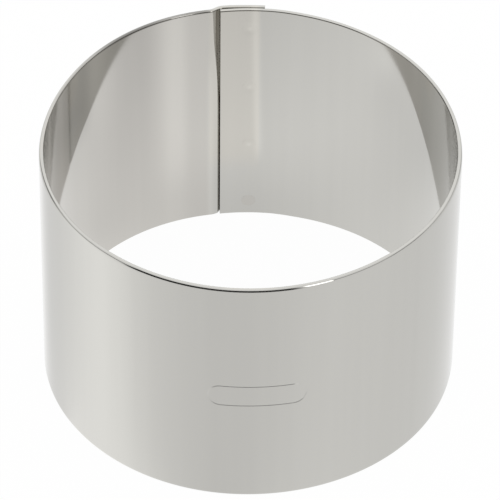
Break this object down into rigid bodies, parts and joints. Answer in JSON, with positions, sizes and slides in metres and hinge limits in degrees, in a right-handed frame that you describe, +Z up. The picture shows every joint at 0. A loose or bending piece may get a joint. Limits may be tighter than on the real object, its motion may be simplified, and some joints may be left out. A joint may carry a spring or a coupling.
{
  "type": "pastry ring",
  "caption": "Straight-sided ring of polished stainless sheet, open at both ends: one rolled strip whose joggled end laps over the other and is spot-welded down the lap.",
  "frame": {"origin": "on the ring's axis, in the plane of the lower rim", "axes": "+Z up along the ring's axis; +Y towards the middle of the welded lap, so -Y is the plain front; the lap's outer layer ends on the +X side"},
  "size_m": [0.09, 0.0913, 0.06],
  "materials": {
    "polished_steel": "polished, close to a mirror, with faint rolling lines",
    "weld_mark": "satin electrode mark with a faint heat tint"
  },
  "bodies": {
    "root": {"band": "polished_steel", "spot_weld_1": "weld_mark", "spot_weld_2": "weld_mark", "spot_weld_3": "weld_mark", "spot_weld_4": "weld_mark"}
  },
  "joints": []
}
